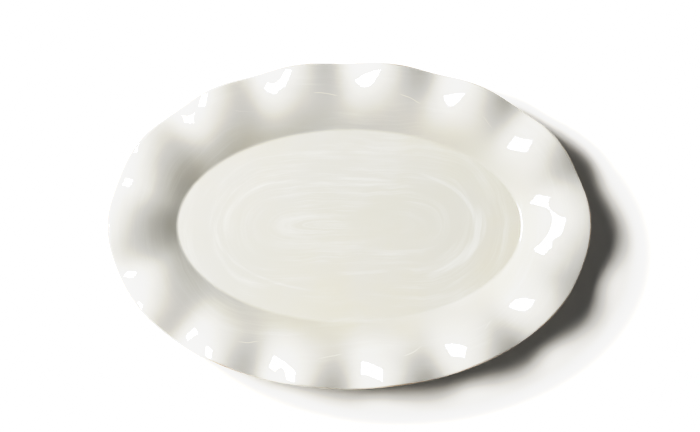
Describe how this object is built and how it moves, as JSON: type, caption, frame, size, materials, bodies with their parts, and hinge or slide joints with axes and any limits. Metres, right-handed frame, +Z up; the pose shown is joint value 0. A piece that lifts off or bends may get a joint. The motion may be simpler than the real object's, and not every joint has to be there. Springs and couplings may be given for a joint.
{
  "type": "oval serving platter",
  "caption": "Oval serving platter with a flat well and a wide ruffled rim, in glossy ivory glaze over pale clay, on an oval foot ring.",
  "frame": {"origin": "centre of the foot ring, in the plane that the platter rests on", "axes": "+X along the length, +Z up out of the well"},
  "size_m": [0.4556, 0.3118, 0.0447],
  "materials": {
    "clay": "matte",
    "glaze": "gloss"
  },
  "bodies": {
    "root": {"platter_body": "clay", "foot_ring": "clay", "face_glaze": "glaze", "back_glaze": "glaze", "base_glaze": "glaze"}
  },
  "joints": []
}
